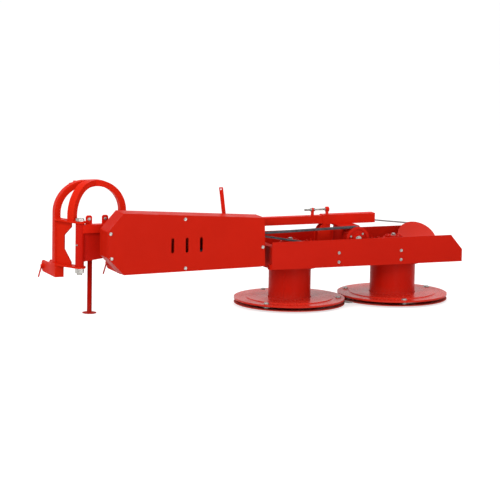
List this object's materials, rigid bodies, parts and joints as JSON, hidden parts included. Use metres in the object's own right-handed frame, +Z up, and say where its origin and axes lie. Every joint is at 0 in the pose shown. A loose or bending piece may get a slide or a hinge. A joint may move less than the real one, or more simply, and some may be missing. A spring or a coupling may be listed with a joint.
{
  "type": "two-drum rotary mower",
  "caption": "Belt-driven drum mower on a side beam with a swinging three-point hitch frame, counter-rotating drums with free knives, skid discs, belt guard and parking stand.",
  "frame": {"origin": "on the ground under the middle of the machine", "axes": "+X outward along the beam, +Y forward, +Z up"},
  "size_m": [2.7974, 0.799, 0.86],
  "materials": {
    "red_paint": "satin orange-red paint",
    "zinc": "zinc plated",
    "blade_steel": "hardened spring steel",
    "bare_steel": "turned steel",
    "belt_rubber": "matt rubber"
  },
  "bodies": {
    "frame": {"deck_plate": "red_paint", "side_panel_rear": "red_paint", "side_panel_front": "red_paint", "end_tube": "red_paint", "side_rails": "red_paint", "cross_channel": "red_paint", "side_brackets": "red_paint", "drum_heads": "red_paint", "cross_shaft_tubes": "red_paint", "gearbox": "red_paint", "gearbox_bracket": "red_paint", "inner_beam": "red_paint", "outer_beam": "red_paint", "adjusting_screw": "zinc", "lever_bar": "red_paint", "top_tube": "red_paint", "post_plates": "red_paint", "arm_web": "red_paint", "pivot_tube": "red_paint", "pto_bearing": "red_paint", "stand_sleeve": "red_paint", "drive_belts": "belt_rubber", "belt_runs": "belt_rubber", "belt_bends": "belt_rubber", "idler_spindles": "zinc", "guard_cover": "red_paint", "guard_back": "red_paint", "guard_brackets": "red_paint", "swath_arm": "red_paint", "tie_rod": "zinc"},
    "drum_inner": {"drum_shell_inner": "red_paint", "drum_shaft_inner": "red_paint", "rotor_disc_inner": "red_paint", "knife_bolts_inner": "zinc"},
    "drum_outer": {"drum_shell_outer": "red_paint", "drum_shaft_outer": "red_paint", "rotor_disc_outer": "red_paint", "knife_bolts_outer": "zinc"},
    "skid_inner": {"skid_disc_inner": "red_paint"},
    "skid_outer": {"skid_disc_outer": "red_paint"},
    "input_pulley": {"gearbox_pulley": "red_paint"},
    "drive_wheel": {"drive_pulley": "red_paint"},
    "upper_idler": {"idler_upper": "bare_steel"},
    "lower_idler": {"idler_lower": "bare_steel"},
    "hitch": {"hitch_hoop": "red_paint", "top_link_ears": "red_paint", "hitch_back_leg": "red_paint", "hitch_plates": "red_paint", "hitch_web": "red_paint", "link_clevises": "red_paint", "link_pins": "red_paint", "pivot_pin": "zinc"},
    "stand": {"parking_stand": "red_paint"},
    "swath_wheel": {"swath_disc": "red_paint"},
    "blade_inner_1": {"knife_inner_1": "blade_steel"},
    "blade_inner_2": {"knife_inner_2": "blade_steel"},
    "blade_inner_3": {"knife_inner_3": "blade_steel"},
    "blade_outer_1": {"knife_outer_1": "blade_steel"},
    "blade_outer_2": {"knife_outer_2": "blade_steel"},
    "blade_outer_3": {"knife_outer_3": "blade_steel"}
  },
  "joints": [
    {"name": "drum_inner_spin", "type": "hinge", "parent": "frame", "child": "drum_inner", "pos_m": [0.23874, -0.02649, 0.049], "axis": [0, 0, 1], "continuous": true},
    {"name": "drum_outer_spin", "type": "hinge", "parent": "frame", "child": "drum_outer", "pos_m": [0.99674, -0.02649, 0.049], "axis": [0, 0, 1], "continuous": true},
    {"name": "skid_inner_spin", "type": "hinge", "parent": "drum_inner", "child": "skid_inner", "pos_m": [0.23874, -0.02649, 0.01], "axis": [0, 0, 1], "continuous": true},
    {"name": "skid_outer_spin", "type": "hinge", "parent": "drum_outer", "child": "skid_outer", "pos_m": [0.99674, -0.02649, 0.01], "axis": [0, 0, 1], "continuous": true},
    {"name": "input_pulley_spin", "type": "hinge", "parent": "frame", "child": "input_pulley", "pos_m": [0.63874, -0.20649, 0.458], "axis": [0, 1, 0], "continuous": true},
    {"name": "drive_pulley_spin", "type": "hinge", "parent": "frame", "child": "drive_wheel", "pos_m": [-0.96126, -0.20649, 0.488], "axis": [0, 1, 0], "continuous": true},
    {"name": "upper_idler_spin", "type": "hinge", "parent": "frame", "child": "upper_idler", "pos_m": [-0.11126, -0.20649, 0.555], "axis": [0, 1, 0], "continuous": true},
    {"name": "lower_idler_spin", "type": "hinge", "parent": "frame", "child": "lower_idler", "pos_m": [-0.07126, -0.20649, 0.469], "axis": [0, 1, 0], "continuous": true},
    {"name": "blade_inner_1_pivot", "type": "hinge", "parent": "drum_inner", "child": "blade_inner_1", "pos_m": [0.18144, 0.2985, 0.0253], "axis": [0, 0, 1], "continuous": true},
    {"name": "blade_inner_2_pivot", "type": "hinge", "parent": "drum_inner", "child": "blade_inner_2", "pos_m": [-0.01405, -0.23861, 0.0253], "axis": [0, 0, 1], "continuous": true},
    {"name": "blade_inner_3_pivot", "type": "hinge", "parent": "drum_inner", "child": "blade_inner_3", "pos_m": [0.54884, -0.13936, 0.0253], "axis": [0, 0, 1], "continuous": true},
    {"name": "blade_outer_1_pivot", "type": "hinge", "parent": "drum_outer", "child": "blade_outer_1", "pos_m": [1.30684, 0.08638, 0.0253], "axis": [0, 0, 1], "continuous": true},
    {"name": "blade_outer_2_pivot", "type": "hinge", "parent": "drum_outer", "child": "blade_outer_2", "pos_m": [0.74394, 0.18563, 0.0253], "axis": [0, 0, 1], "continuous": true},
    {"name": "blade_outer_3_pivot", "type": "hinge", "parent": "drum_outer", "child": "blade_outer_3", "pos_m": [0.93944, -0.35147, 0.0253], "axis": [0, 0, 1], "continuous": true},
    {"name": "hitch_swing", "type": "hinge", "parent": "frame", "child": "hitch", "pos_m": [-1.24926, -0.02649, 0.465], "axis": [0, 0, 1], "range_deg": [0, 90]},
    {"name": "stand_slide", "type": "slide", "parent": "frame", "child": "stand", "axis": [0, 0, 1], "range_m": [0, 0.2]},
    {"name": "swath_disc_spin", "type": "hinge", "parent": "frame", "child": "swath_wheel", "pos_m": [1.20474, 0.04911, 0.3864], "axis": [0, -0.7071, 0.7071], "continuous": true}
  ],
  "couplings": [
    {"joint": "drum_outer_spin", "follows": "drum_inner_spin", "ratio": -1},
    {"joint": "input_pulley_spin", "follows": "drum_inner_spin", "ratio": 0.66667},
    {"joint": "drive_pulley_spin", "follows": "drum_inner_spin", "ratio": 0.33291},
    {"joint": "upper_idler_spin", "follows": "drum_inner_spin", "ratio": -1.4094},
    {"joint": "lower_idler_spin", "follows": "drum_inner_spin", "ratio": -1.4094}
  ]
}
